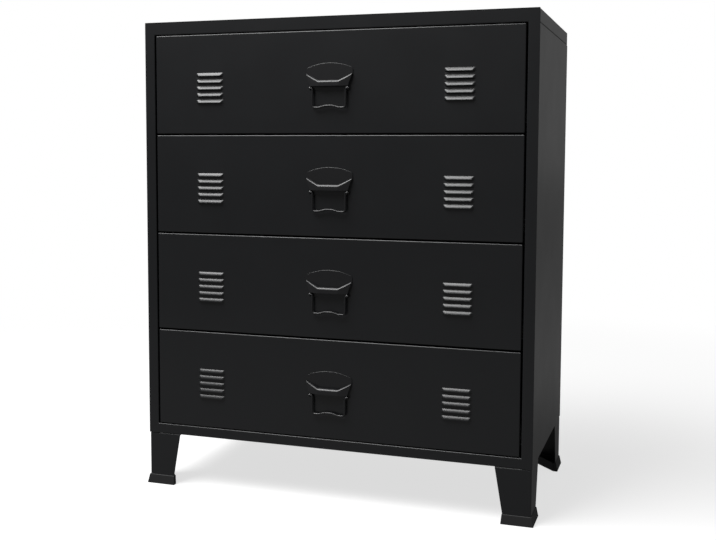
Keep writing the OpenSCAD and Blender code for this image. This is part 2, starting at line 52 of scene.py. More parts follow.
X, Y, Z = 0, 1, 2           # axes
DRAWERS = (1, 2, 3, 4)
TOUCH = 0.01 * MM           # points closer than this are one
SMOOTH_ANGLE = 35           # degrees up to which neighbouring faces are shaded as one surface

# Sizes that the frame doesn't state, in metres
SHEET = 0.8 * MM            # casing, drawer fronts and trays
FRAME_SHEET = 1.0 * MM      # face frame
LEG_SHEET = 1.5 * MM
HOOD_SHEET = 1.2 * MM
BEND_R = 2.0 * MM           # outside radius of the folds that show
SIDE_BEND_R = 3.0 * MM      # the side panels' folds
LEG_BEND_R = 2.6 * MM
LEG_EDGE = 0.2 * MM         # easing of the legs' cut edges
TRAY_BEND_R = 1.6 * MM
CUT_EDGE = 0.15 * MM        # easing of a sheet's cut edges
FRAME_EDGE = 0.3 * MM       # and of the face frame's
TOP_LIP = 12 * MM           # lips under the top's side skirts
SIDE_FLANGE, SIDE_BOTTOM_FLANGE = 15 * MM, 30 * MM
FRAME_FOLD = 40 * MM        # depth of the folds round the drawer opening
FRAME_LIP = 15 * MM         # lips behind the stiles, at the end of those folds
FRAME_BOTTOM_FOLD = 16 * MM
STILE = 21 * MM
SKIRT_INSET = 0.8 * MM      # the top's skirt lies this far behind the faces of the side panels
TOP_RAIL = 25 * MM
BOTTOM_RAIL = 20 * MM
FRONT_SIDE_LIP, FRONT_END_LIP = 26 * MM, 12 * MM    # lips behind a drawer front
TRAY_RIM = 8 * MM

LOUVRES = 5
LOUVRE_L = 59 * MM
LOUVRE_H = 7 * MM
LOUVRE_OUT = 4 * MM
LOUVRE_PITCH = 13 * MM
LOUVRE_X = 248.5 * MM       # middle of a group from the middle of the front
LOUVRE_TOP = 22 * MM        # top louvre over the middle of the front


# ------------------------------------ colours and materials

def linear(code):
    """An sRGB hex colour as the linear values that the shaders take."""
    parts = [int(code[i:i + 2], 16) / 255 for i in (0, 2, 4)]
    return [c / 12.92 if c <= 0.04045 else ((c + 0.055) / 1.055) ** 2.4 for c in parts] + [1.0]


def add_node(tree, kind, values=None, links=None, **settings):
    """One node, with its settings, its input values and its links from (node, output name)."""
    node = tree.nodes.new(kind)
    for key, value in settings.items():
        setattr(node, key, value)
    for key, value in (values or {}).items():
        node.inputs[key].default_value = value
    for key, (source, output) in (links or {}).items():
        tree.links.new(source.outputs[output], node.inputs[key])
    return node


def new_material(name):
    """An empty material, its tree, and the link that gives a texture its places on the object."""
    material = bpy.data.materials.new(name)
    material.use_nodes = True
    tree = material.node_tree
    tree.nodes.clear()
    return material, tree, {"Vector": (add_node(tree, "ShaderNodeTexCoord"), "Object")}


def shade_by_marks(tree, marks, rough, strength, depth, values, links=None):
    """A shader whose gloss and relief both follow the fine marks that the making left."""
    gloss = add_node(tree, "ShaderNodeMapRange", {"To Min": rough[0], "To Max": rough[1]},
                     {"Value": (marks, "Fac")})
    bump = add_node(tree, "ShaderNodeBump", {"Strength": strength, "Distance": depth},
                    {"Height": (marks, "Fac")})
    shader = add_node(tree, "ShaderNodeBsdfPrincipled", values,
                      {"Roughness": (gloss, "Result"), "Normal": (bump, "Normal"), **(links or {})})
    add_node(tree, "ShaderNodeOutputMaterial", links={"Surface": (shader, "BSDF")})


def satin_powder_coat(name, code, rough, peel):
    """Stoved polyester powder: a satin skin with a faint orange peel that breaks up highlights."""
    material, tree, place = new_material(name)
    # A noise's scale is one over the width of its grains. Those of 1.8 mm and 0.5 mm stand for the flow
    # marks and the powder's own grain, and the wide one makes the coat thicker here and thinner there.
    flow = add_node(tree, "ShaderNodeTexNoise", {"Scale": 1 / (1.8 * MM), "Detail": 2.0}, place)
    grain = add_node(tree, "ShaderNodeTexNoise", {"Scale": 1 / (0.5 * MM), "Detail": 1.0}, place)
    cloud = add_node(tree, "ShaderNodeTexNoise", {"Scale": 1 / (90 * MM), "Detail": 3.0}, place)
    tone = add_node(tree, "ShaderNodeMapRange", {"To Min": 0.93, "To Max": 1.07}, {"Value": (cloud, "Fac")})
    colour = add_node(tree, "ShaderNodeVectorMath", {0: linear(code)[:3]}, {"Scale": (tone, "Result")},
                      operation="SCALE")
    gloss = add_node(tree, "ShaderNodeMapRange", {"To Min": rough - 0.03, "To Max": rough + 0.03},
                     {"Value": (cloud, "Fac")})
    peel_bump = add_node(tree, "ShaderNodeBump", {"Strength": peel, "Distance": 0.02 * MM},
                         {"Height": (flow, "Fac")})
    grain_bump = add_node(tree, "ShaderNodeBump", {"Strength": peel * 0.6, "Distance": 0.01 * MM},
                          {"Height": (grain, "Fac"), "Normal": (peel_bump, "Normal")})
    shader = add_node(tree, "ShaderNodeBsdfPrincipled", {"IOR": 1.5},
                      {"Base Color": (colour, "Vector"), "Roughness": (gloss, "Result"),
                       "Normal": (grain_bump, "Normal")})
    add_node(tree, "ShaderNodeOutputMaterial", links={"Surface": (shader, "BSDF")})
    return material


def grained_black_plastic(name):
    """Injection-moulded polypropylene with a fine spark-eroded grain, flatter than the coat beside it."""
    material, tree, place = new_material(name)
    grain = add_node(tree, "ShaderNodeTexNoise", {"Scale": 1 / (0.9 * MM), "Detail": 3.0}, place)
    shade_by_marks(tree, grain, (0.5, 0.62), 0.5, 0.04 * MM, {"Base Color": linear("151516"), "IOR": 1.49})
    return material


def bright_zinc_plate(name):
    """Cold-rolled strip, zinc plated: rolling lines along the strip and a thin cloudy passivation."""
    material, tree, place = new_material(name)
    # Rolling lines 0.4 mm apart that run along the depth of the cabinet
    along = add_node(tree, "ShaderNodeMapping", {"Scale": (1.0, 0.02, 1.0)}, place)
    lines = add_node(tree, "ShaderNodeTexNoise", {"Scale": 1 / (0.4 * MM), "Detail": 2.0},
                     {"Vector": (along, "Vector")})
    cloud = add_node(tree, "ShaderNodeTexNoise", {"Scale": 1 / (12 * MM), "Detail": 4.0}, place)
    colour = add_node(tree, "ShaderNodeMix", {"A": linear("9da1a4"), "B": linear("bdbfbd")},
                      {"Factor": (cloud, "Fac")}, data_type="RGBA")
    shade_by_marks(tree, lines, (0.3, 0.46), 0.25, 0.01 * MM, {"Metallic": 1.0},
                   {"Base Color": (colour, "Result")})
    return material


def natural_nylon(name):
    """Turned polyamide: milky, slightly waxy, with fine turning marks."""
    material, tree, place = new_material(name)
    marks = add_node(tree, "ShaderNodeTexNoise", {"Scale": 1 / (0.7 * MM), "Detail": 2.0}, place)
    shade_by_marks(tree, marks, (0.38, 0.5), 0.3, 0.02 * MM,
                   {"Base Color": linear("e6e3d8"), "IOR": 1.53, "Subsurface Weight": 0.15,
                    "Subsurface Radius": (2 * MM, 1.6 * MM, 1.2 * MM)})
    return material


COAT = satin_powder_coat("satin_black_powder_coat", "121315", 0.32, 0.35)
HANDLE_COAT = satin_powder_coat("satin_black_coat_on_pressings", "121214", 0.35, 0.25)
PLASTIC = grained_black_plastic("grained_black_polypropylene")
ZINC = bright_zinc_plate("bright_zinc_plated_steel")
NYLON = natural_nylon("natural_nylon")
BY_SLOT = {"coat": COAT, "handle_coat": HANDLE_COAT, "foot_plastic": PLASTIC, "zinc": ZINC, "nylon": NYLON}


# ------------------------------------ meshes

def add_object(name, data):
    """A new object in the scene."""
    piece = bpy.data.objects.new(name, data)
    bpy.context.scene.collection.objects.link(piece)
    return piece


def circle(radius, sides):
    """Points of a circle as pairs, from angle 0."""
    turns = [2 * math.pi * n / sides for n in range(sides)]
    return [(radius * math.cos(turn), radius * math.sin(turn)) for turn in turns]


def bridge(bm, one, two):
    """Faces between two closed loops of vertices; a loop that repeats one vertex is a pole."""
    quads = ((one[n - 1], one[n], two[n], two[n - 1]) for n in range(len(one)))
    return [bm.faces.new(list(dict.fromkeys(quad))) for quad in quads]


def shade(piece, angle=SMOOTH_ANGLE):
    """Smooth, but for the edges that turn by more than the angle."""
    piece.data.shade_smooth()
    piece.data.set_sharp_from_angle(angle=math.radians(angle))


def object_from(bm, name, material, smooth=True):
    """A mesh object at the origin."""
    mesh = bpy.data.meshes.new(name)
    bm.to_mesh(mesh)
    bm.free()
    piece = add_object(name, mesh)
    mesh.materials.append(material)
    if smooth:
        shade(piece)
    return piece


def install(piece, body, slot, *nodes):
    """The finished piece takes the place of its nodes, on their body; slot is not used."""
    settle(piece)
    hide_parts(*nodes)
    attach(piece, body)


def wall(axis, at, first, second, outward):
    """Corners of a rectangle square to an axis; first and second span the other two axes in X, Y, Z order."""
    corners = []
    for a, b in ((first[0], second[0]), (first[1], second[0]), (first[1], second[1]), (first[0], second[1])):
        point = [a, b]
        point.insert(axis, at)
        corners.append(Vector(point))
    normal = (corners[1] - corners[0]).cross(corners[2] - corners[0])
    return corners if normal[axis] * outward > 0 else corners[::-1]


def skin(polygons):
    """One surface from polygons that share edges."""
    bm = bmesh.new()
    for polygon in polygons:
        bm.faces.new([bm.verts.new(point) for point in polygon])
    bmesh.ops.remove_doubles(bm, verts=bm.verts, dist=TOUCH)
    return bm


def bend(bm, radius, keep=None):
    """Rounds the folds of a skin, or those of them that keep() picks."""
    least = math.radians(20)
    folds = [e for e in bm.edges if len(e.link_faces) == 2 and e.calc_face_angle(0) > least]
    if keep:
        folds = [e for e in folds if keep(e)]
    bmesh.ops.bevel(bm, geom=folds, offset=radius, segments=4, profile=0.5, affect="EDGES",
                    clamp_overlap=True)


def thicken(piece, thickness, rim=0.0, even=True):
    """Gives a skin its sheet, inwards, and softens the cut edges."""
    solid = piece.modifiers.new("sheet", "SOLIDIFY")
    solid.thickness = thickness
    solid.offset = -1
    solid.use_even_offset = even
    if rim:
        soften(piece, rim)
    level(piece)


def level(piece):
    """Keeps flat faces flat beside smooth-shaded rounds."""
    flat = piece.modifiers.new("flat_faces", "WEIGHTED_NORMAL")
    flat.keep_sharp = True
    flat.weight = 50


def soften(piece, width, angle=50):
    """A small round on the sharp edges."""
    edge = piece.modifiers.new("edges", "BEVEL")
    edge.width = width
    edge.segments = 2
    edge.limit_method = "ANGLE"
    edge.angle_limit = math.radians(angle)
    edge.use_clamp_overlap = True


def settle(piece):
    """Turns the modifiers' result into the piece's own mesh."""
    graph = bpy.context.evaluated_depsgraph_get()
    mesh = bpy.data.meshes.new_from_object(piece.evaluated_get(graph))
    piece.modifiers.clear()
    piece.data = mesh
    return piece


def folded(name, polygons, thickness=SHEET, radius=BEND_R, rim=CUT_EDGE, keep=None):
    """A sheet metal piece: a skin, its bends and its thickness."""
    bm = skin(polygons)
    bend(bm, radius, keep)
    piece = object_from(bm, name, COAT)
    thicken(piece, thickness, rim)
    return piece


def cut(piece, cutter):
    """Takes a closed shape out of a piece."""
    tool = object_from(cutter, "cutter", piece.data.materials[0], smooth=False)
    bite = piece.modifiers.new("cut", "BOOLEAN")
    bite.operation = "DIFFERENCE"
    bite.solver = "EXACT"
    bite.object = tool
    settle(piece)
    bpy.data.objects.remove(tool)
    return piece


def closed_between(first, last, bm=None):
    """A closed shape between two loops of points."""
    bm = bm or bmesh.new()
    one, two = ([bm.verts.new(point) for point in loop] for loop in (first, last))
    faces = [bm.faces.new(one[::-1]), bm.faces.new(two)] + bridge(bm, one, two)
    bmesh.ops.recalc_face_normals(bm, faces=faces)
    return bm


def prism(outline, z0, z1, bm=None):
    """A flat outline of (x, y) points, raised from z0 to z1."""
    return closed_between([(x, y, z0) for x, y in outline], [(x, y, z1) for x, y in outline], bm)


# ------------------------------------ casing

def top_cover():
    """The top: skirts at the sides and the back, and lips that lie on the side panels."""
    low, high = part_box("top_panel")
    start_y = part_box("side_panel_right")[0].y
    x, skirt, top = high.x - SKIRT_INSET, low.z, high.z
    polygons = [wall(Z, top, (-x, x), (low.y, start_y), 1), wall(Z, top, (-x, x), (start_y, high.y), 1),
                wall(Y, high.y, (-x, x), (skirt, top), 1)]
    for s in (-1, 1):
        polygons.append(wall(X, s * x, (start_y, high.y), (skirt, top), s))
        polygons.append(wall(Z, skirt, sorted((s * x, s * (x - TOP_LIP))), (start_y, high.y), -1))
    install(folded("folded_top", polygons), "root", "coat", "top_panel")


def side_sheet(side):
    """A side panel: flanges at the front, back and top, and a wider one at the bottom for the legs' bolts."""
    s = -1 if side == "left" else 1
    node = "side_panel_" + side
    low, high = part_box(node)
    outer = high.x if s > 0 else low.x
    mid, far = outer - s * SIDE_FLANGE, outer - s * SIDE_BOTTOM_FLANGE
    flange = sorted((outer, mid))
    y, z = (low.y, high.y), (low.z, high.z)
    polygons = [wall(X, outer, y, z, s),
                wall(Y, low.y, flange, z, -1), wall(Y, high.y, flange, z, 1),
                wall(Z, high.z, flange, y, 1), wall(Z, low.z, flange, y, -1),
                wall(Z, low.z, sorted((mid, far)), y, -1)]
    # The front edge butts against the face frame, so it stays sharp
    piece = folded("folded_side_" + side, polygons, radius=SIDE_BEND_R,
                   keep=lambda e: any(v.co.y > low.y + MM for v in e.verts))
    install(piece, "root", "coat", node)


def face_frame():
    """Two stiles and two rails welded into one face, folded back round the drawer opening."""
    low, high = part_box("front_frame")
    front = low.y
    x_out, z_low, z_high = high.x, low.z, high.z
    x_in = x_out - STILE
    drawer_low, drawer_high = z_low + BOTTOM_RAIL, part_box("top_panel")[1].z - TOP_RAIL
    xs = (-x_out, -x_in, x_in, x_out)
    zs = (z_low, drawer_low, drawer_high, z_high)
    polygons = []
    for i in range(3):
        for k in range(3):
            if (i, k) != (1, 1):
                polygons.append(wall(Y, front, xs[i:i + 2], zs[k:k + 2], -1))
    back = front + FRAME_SHEET + FRAME_FOLD
    depth = (front, back)
    for s in (-1, 1):
        polygons.append(wall(X, s * x_in, depth, (drawer_low, drawer_high), -s))
        lip = sorted((s * x_in, s * (x_in + FRAME_LIP)))
        polygons.append(wall(Y, back, lip, (drawer_low, drawer_high), 1))
    polygons.append(wall(Z, drawer_low, (-x_in, x_in), depth, 1))
    polygons.append(wall(Z, drawer_high, (-x_in, x_in), depth, -1))
    polygons.append(wall(Z, z_low, (-x_in, x_in), (front, front + FRAME_BOTTOM_FOLD), -1))
    piece = folded("welded_face_frame", polygons, FRAME_SHEET, rim=FRAME_EDGE)
    install(piece, "root", "coat", "front_frame")


# ------------------------------------ legs

LEG_TOP_W, LEG_LOW_W = 68 * MM, 53 * MM             # front plate, at the body and at the foot
LEG_SIDE_TOP_W, LEG_SIDE_LOW_W = 80 * MM, 58 * MM   # side plate
FOOT_BRIM = 1.5 * MM                                # how far a foot stands out of the leg's faces, at its top
FOOT_END_FLARE, FOOT_END_BRIM = 2.5 * MM, 0.8 * MM  # and past the plates' ends, at its bottom and its top
FOOT_INNER_WALL = 3 * MM
FOOT_EDGE_R = 1 * MM
FOOT_FIT = 0.1 * MM                                 # play of the leg's plates in their slot
POCKET_END_GAP = 1.5 * MM                           # from the pocket's points to the plates' ends


def corner_of(node):
    """Outer corner of a leg or foot, and the directions along X and Y that lead away from the middle."""
    low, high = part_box(node)
    sx = 1 if high.x > 0 else -1
    sy = 1 if high.y > 0 else -1
    return Vector((high.x if sx > 0 else low.x, high.y if sy > 0 else low.y, 0)), sx, sy


def leg(node):
    """A tapered angle with a flange on top; the same mesh is mirrored to the four corners."""
    low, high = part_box(node)
    corner, sx, sy = corner_of(node)
    top, knee, end = high.z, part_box(node.replace("leg", "foot"))[1].z, low.z

    def place(across, depth, z):
        """A point of a plate, from the leg's outer corner."""
        return corner + Vector((-sx * across, -sy * depth, z))

    plates = [
        [(0, 0, end), (LEG_LOW_W, 0, end), (LEG_LOW_W, 0, knee), (LEG_TOP_W, 0, top), (0, 0, top)],
        [(0, 0, top), (0, LEG_SIDE_TOP_W, top), (0, LEG_SIDE_LOW_W, knee), (0, LEG_SIDE_LOW_W, end),
         (0, 0, end)],
        [(0, 0, top), (LEG_TOP_W, 0, top), (LEG_TOP_W, LEG_SIDE_TOP_W, top), (0, LEG_SIDE_TOP_W, top)]]
    bm = skin([[place(*point) for point in plate] for plate in plates])
    bmesh.ops.recalc_face_normals(bm, faces=bm.faces)
    middle = place(LEG_LOW_W, LEG_SIDE_LOW_W, (top + end) / 2)
    face = max(bm.faces, key=lambda f: abs(f.normal.y))
    if face.normal.dot(face.calc_center_median() - middle) < 0:
        bmesh.ops.reverse_faces(bm, faces=bm.faces)
    bend(bm, LEG_BEND_R)
    piece = object_from(bm, "folded_" + node, COAT)
    thicken(piece, LEG_SHEET, LEG_EDGE)
    install(piece, "root", "coat", node)


def foot(node):
    """Moulded cap: flared, with soft edges, a slot for the leg's two plates and a pocket in its angle."""
    low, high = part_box(node)
    corner, sx, sy = corner_of(node.replace("foot", "leg"))
    flare = abs(corner_of(node)[0].x) - abs(corner.x)
    inside = LEG_SHEET + FOOT_INNER_WALL
    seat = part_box(node.replace("foot", "leg"))[0].z
    back_x, back_y = LEG_LOW_W + FOOT_END_FLARE, LEG_SIDE_LOW_W + FOOT_END_FLARE
    slope = (back_y - inside) / (back_x - inside)

    def plan(front, end):
        """Outline from the outer corner: two faces, two ends and a straight back across the angle."""
        across, deep = LEG_LOW_W + end, LEG_SIDE_LOW_W + end
        return [(-front, -front), (across, -front), (across, inside + (back_x - across) * slope),
                (inside + (back_y - deep) / slope, deep), (-front, deep)]

    def place(points):
        """Points of a plan, at this foot's corner."""
        return [(corner.x - sx * u, corner.y - sy * v) for u, v in points]

    bm = closed_between([(x, y, low.z) for x, y in place(plan(flare, FOOT_END_FLARE))],
                        [(x, y, high.z) for x, y in place(plan(FOOT_BRIM, FOOT_END_BRIM))])
    bmesh.ops.bevel(bm, geom=bm.edges[:], offset=FOOT_EDGE_R, segments=3, profile=0.5, affect="EDGES")
    piece = object_from(bm, "moulded_" + node, PLASTIC)
    out, sheet_in = -FOOT_FIT, LEG_SHEET + FOOT_FIT
    end_x, end_y = LEG_LOW_W + FOOT_FIT, LEG_SIDE_LOW_W + FOOT_FIT
    slot = [(out, out), (end_x, out), (end_x, sheet_in), (sheet_in, sheet_in), (sheet_in, end_y),
            (out, end_y)]
    pocket = [(inside, inside), (LEG_LOW_W - POCKET_END_GAP, inside),
              (inside, LEG_SIDE_LOW_W - POCKET_END_GAP)]
    past_top = high.z + 5 * MM
    cutter = prism(place(slot), seat, past_top)
    prism(place(pocket), seat, past_top, cutter)
    cut(piece, cutter)
    shade(piece)
    level(piece)
    install(piece, "root", "foot_plastic", node)


# ------------------------------------ drawers

def spread(start, stop, count):
    """Evenly spaced values, both ends among them."""
    return [start + (stop - start) * k / (count - 1) for k in range(count)]


LOUVRE_END = 7 * MM         # length over which a louvre's end rises, at its open edge
LOUVRE_END_NARROW = 0.35    # share of that length at its top edge
LOUVRE_SWELL = 0.55         # how much steeper than a flat ramp it starts at its top edge
LOUVRE_COLUMNS = (spread(-LOUVRE_L / 2, -LOUVRE_L / 2 + LOUVRE_END, 6)
                  + spread(LOUVRE_L / 2 - LOUVRE_END, LOUVRE_L / 2, 6))
LOUVRE_ROWS = spread(-LOUVRE_H, 0, 8)


def louvre_rise(x, z):
    """How far a louvre stands out: a hood that swells out steeply below its top edge, with rounded ends."""
    down = max(0.0, -z / LOUVRE_H)
    reach = LOUVRE_END * (LOUVRE_END_NARROW + (1 - LOUVRE_END_NARROW) * down)
    end = max(0.0, min(1.0, (LOUVRE_L / 2 - abs(x)) / reach))
    return LOUVRE_OUT * down * (1 + LOUVRE_SWELL - LOUVRE_SWELL * down) * (end * end * (3 - 2 * end))


def louvre_patch():
    """The pressed hood of one louvre, hung from its top edge at z = 0."""
    bm = bmesh.new()
    for x0, x1 in zip(LOUVRE_COLUMNS, LOUVRE_COLUMNS[1:]):
        for z0, z1 in zip(LOUVRE_ROWS, LOUVRE_ROWS[1:]):
            corners = ((x0, z0), (x1, z0), (x1, z1), (x0, z1))
            bm.faces.new([bm.verts.new((x, -louvre_rise(x, z), z)) for x, z in corners])
    bmesh.ops.remove_doubles(bm, verts=bm.verts, dist=TOUCH)
    return object_from(bm, "louvre_patch", COAT)


def new_geometry_tree(name, output, inputs):
    """An empty geometry nodes tree with its named sockets, and the node that hands out its inputs."""
    tree = bpy.data.node_groups.new(name, "GeometryNodeTree")
    tree.interface.new_socket(output, in_out="OUTPUT", socket_type="NodeSocketGeometry")
    for title, kind in inputs.items():
        tree.interface.new_socket(title, in_out="INPUT", socket_type="NodeSocket" + kind)
    return tree, add_node(tree, "NodeGroupInput")


def run_tree(piece, tree, values):
    """Turns a piece into what a geometry nodes tree makes of it, with the tree's inputs set by name."""
    modifier = piece.modifiers.new(tree.name, "NODES")
    modifier.node_group = tree
    for item in tree.interface.items_tree:
        if item.item_type == "SOCKET" and item.in_out == "INPUT" and item.name in values:
            modifier[item.identifier] = values[item.name]
    return settle(piece)


def louvred_tree(patch):
    """Geometry nodes that hang rows of louvres in a sheet's holes and weld them in."""
    tree, given = new_geometry_tree("louvre_rows", "Louvres", {
        "Sheet": "Geometry", "Rows": "Int", "Pitch": "Float", "Group X": "Float", "Front Y": "Float",
        "Top Z": "Float", "Weld": "Float"})
    step = add_node(tree, "ShaderNodeMath", {1: -1.0}, {0: (given, "Pitch")}, operation="MULTIPLY")
    offset = add_node(tree, "ShaderNodeCombineXYZ", links={"Z": (step, 0)})
    hood = add_node(tree, "GeometryNodeObjectInfo")
    hood.inputs["Object"].default_value = patch
    joined = add_node(tree, "GeometryNodeJoinGeometry")
    for side in (-1.0, 1.0):
        x = add_node(tree, "ShaderNodeMath", {1: side}, {0: (given, "Group X")}, operation="MULTIPLY")
        start = add_node(tree, "ShaderNodeCombineXYZ",
                         links={"X": (x, 0), "Y": (given, "Front Y"), "Z": (given, "Top Z")})
        row = add_node(tree, "GeometryNodeMeshLine",
                       links={"Count": (given, "Rows"), "Start Location": (start, 0), "Offset": (offset, 0)})
        hung = add_node(tree, "GeometryNodeInstanceOnPoints",
                        links={"Points": (row, "Mesh"), "Instance": (hood, "Geometry")})
        real = add_node(tree, "GeometryNodeRealizeInstances", links={"Geometry": (hung, "Instances")})
        tree.links.new(real.outputs["Geometry"], joined.inputs["Geometry"])
    tree.links.new(given.outputs["Sheet"], joined.inputs["Geometry"])
    welded = add_node(tree, "GeometryNodeMergeByDistance",
                      links={"Geometry": (joined, "Geometry"), "Distance": (given, "Weld")})
    finish = add_node(tree, "GeometryNodeSetMaterial", {"Material": COAT}, {"Geometry": (welded, "Geometry")})
    add_node(tree, "NodeGroupOutput", links={"Louvres": (finish, "Geometry")})
    return tree


def pressed_front(i, tree):
    """A drawer front: a pan with louvred face, round bends, deep sides and lips behind."""
    low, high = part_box(f"drawer_front_{i}")
    front = low.y + LOUVRE_OUT
    middle = (low.z + high.z) / 2
    top = middle + LOUVRE_TOP
    xs = sorted({round(s * LOUVRE_X + c, 7) for s in (-1, 1) for c in LOUVRE_COLUMNS} | {low.x, high.x})
    zs = sorted({round(top - k * LOUVRE_PITCH + r, 7) for k in range(LOUVRES) for r in LOUVRE_ROWS}
                | {low.z, high.z})

    def pressed(x, z):
        """Whether a cell is taken up by a louvre."""
        in_x = abs(abs(x) - LOUVRE_X) < LOUVRE_L / 2
        return in_x and any(-LOUVRE_H < z - top + k * LOUVRE_PITCH < 0 for k in range(LOUVRES))

    polygons = []
    for x0, x1 in zip(xs, xs[1:]):
        for z0, z1 in zip(zs, zs[1:]):
            if not pressed((x0 + x1) / 2, (z0 + z1) / 2):
                polygons.append(wall(Y, front, (x0, x1), (z0, z1), -1))
    depth = (front, high.y)
    for x0, x1 in zip(xs, xs[1:]):
        polygons += [wall(Z, low.z, (x0, x1), depth, -1), wall(Z, high.z, (x0, x1), depth, 1)]
    for z0, z1 in zip(zs, zs[1:]):
        polygons += [wall(X, low.x, depth, (z0, z1), -1), wall(X, high.x, depth, (z0, z1), 1)]
    bm = skin(polygons)
    add_lips(bm, low, high)
    bend(bm, BEND_R)
    piece = object_from(bm, f"pressed_front_{i}", COAT)
    run_tree(piece, tree, {"Rows": LOUVRES, "Pitch": LOUVRE_PITCH, "Group X": LOUVRE_X, "Front Y": front,
                           "Top Z": top, "Weld": 2 * TOUCH})
    shade(piece, 50)        # the louvres' rounds are coarser than a bend's
    thicken(piece, SHEET)
    install(piece, f"drawer_{i}", "coat", f"drawer_front_{i}")


def add_lips(bm, low, high):
    """Folds the open back of a pan inwards."""
    rim = [e for e in bm.edges if e.is_boundary and all(abs(v.co.y - high.y) < TOUCH for v in e.verts)]
    new = bmesh.ops.extrude_edge_only(bm, edges=rim)["geom"]
    for v in (g for g in new if isinstance(g, bmesh.types.BMVert)):
        v.co.x = max(low.x + FRONT_SIDE_LIP, min(high.x - FRONT_SIDE_LIP, v.co.x))
        v.co.z = max(low.z + FRONT_END_LIP, min(high.z - FRONT_END_LIP, v.co.z))
    lips = [f for f in bm.faces if f.calc_center_median().y > high.y - TOUCH]
    bmesh.ops.recalc_face_normals(bm, faces=lips)


def tray(i):
    """An open-topped box, with its sides and back folded inwards along the top."""
    node = f"drawer_tray_{i}"
    low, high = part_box(node)
    x, y, z = (low.x, high.x), (low.y, high.y), (low.z, high.z)
    polygons = [wall(Z, low.z, x, y, -1), wall(Y, low.y, x, z, -1), wall(Y, high.y, x, z, 1),
                wall(X, low.x, y, z, -1), wall(X, high.x, y, z, 1)]
    left, right, back = low.x + TRAY_RIM, high.x - TRAY_RIM, high.y - TRAY_RIM
    inner = [(left, low.y), (left, back), (right, back), (right, low.y)]
    outer = [(low.x, low.y), (low.x, high.y), (high.x, high.y), (high.x, low.y)]
    for k in range(3):
        ring = [outer[k], outer[k + 1], inner[k + 1], inner[k]]
        polygons.append([Vector((a, b, high.z)) for a, b in ring][::-1])
    install(folded("folded_" + node, polygons, radius=TRAY_BEND_R), f"drawer_{i}", "coat", node)


# ------------------------------------ handles

# Sizes of a handle, measured from the middle of its drawer front
ARCH_R = 112.7 * MM
PLATE_T = 1.5 * MM
PLATE_EDGE_R = 0.7 * MM
PLATE_LOW_CORNER_R, PLATE_TOP_CORNER_R = 2 * MM, 5 * MM
PLATE_HALF_W = 46 * MM
PLATE_LOW_HALF_W = 38.5 * MM
PLATE_SHOULDER_Z = 16 * MM      # the plate's sides lean inwards below this
HOOD_MID_HALF_W = 20 * MM
HOOD_MID_TOP = 3 * MM
HOOD_END_OUT = 5.5 * MM
HOOD_ROLL_R = 5 * MM            # between the hood's face and its shelf
HOOD_FACET_EASE = 2 * MM        # length over which one facet turns into the next, to each side
HOOD_SHELF_MIN = 0.8 * MM       # least flat of the shelf behind its roll
HOOD_SIDE_FROM, HOOD_SIDE_TO = 7 * MM, 3 * MM   # from a side facet's ends to its first and last column
HOOD_END_R = 1.4 * MM
HOOD_EDGE = 0.35 * MM
PIVOT_DROP = 12 * MM
PIVOT_OUT = 6 * MM
BAR_R, BAR_EDGE = 2 * MM, 0.4 * MM
EAR_R, EAR_T = 3.5 * MM, 1.5 * MM
EAR_FIT = 0.05 * MM
EAR_ROOT = 0.7 * MM             # an ear starts inside its plate, this far from the drawer front
EAR_END_GAP = 1.5 * MM          # from an ear's outer face to the end of the bail's pin
STUD_R = 2 * MM
STUD_X, STUD_Z = 25 * MM, 19 * MM
BAIL_HALF_W = 33 * MM
BAIL_SHOULDER_R, BAIL_CORNER_R = 2.6 * MM, 5 * MM
BAIL_RISE_R, BAIL_PEAK_R = 12 * MM, 14 * MM
BAIL_FLAT_X = 19.8 * MM
BAIL_PEAK_X = 6.6 * MM
BAIL_RISE = 3.5 * MM


def front_centre(i):
    """Middle of a drawer front's flat face."""
    low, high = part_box(f"drawer_front_{i}")
    return Vector((0, low.y + LOUVRE_OUT, (low.z + high.z) / 2))


def rounded(points, radii, steps=6):
    """A polyline in a plane whose corners are arcs, each with its radius; those of radius 0 stay sharp."""
    result = []
    for k, (point, radius) in enumerate(zip(points, radii)):
        if radius == 0:
            result.append(point.copy())
            continue
        before = (points[k - 1] - point).normalized()
        after = (points[(k + 1) % len(points)] - point).normalized()
        half = before.angle(after) / 2
        reach = radius / math.tan(half)
        middle = point + (before + after).normalized() * (radius / math.sin(half))
        start = (point + before * reach - middle).normalized()
        end = (point + after * reach - middle).normalized()
        for n in range(steps + 1):
            result.append(middle + start.slerp(end, n / steps).normalized() * radius)
    return result


def tube(path, radius, sides):
    """A round bar along a path in a plane square to Y, with flat ends."""
    bm = bmesh.new()
    rings = []
    for k, point in enumerate(path):
        along = (path[min(k + 1, len(path) - 1)] - path[max(k - 1, 0)]).normalized()
        across = along.cross(Vector((0, 1, 0)))
        rings.append([bm.verts.new(point + across * c + Vector((0, s, 0)))
                      for c, s in circle(radius, sides)])
    for one, two in zip(rings, rings[1:]):
        bridge(bm, two, one)
    bm.faces.new(rings[0])
    bm.faces.new(rings[-1][::-1])
    bmesh.ops.recalc_face_normals(bm, faces=bm.faces)
    return bm


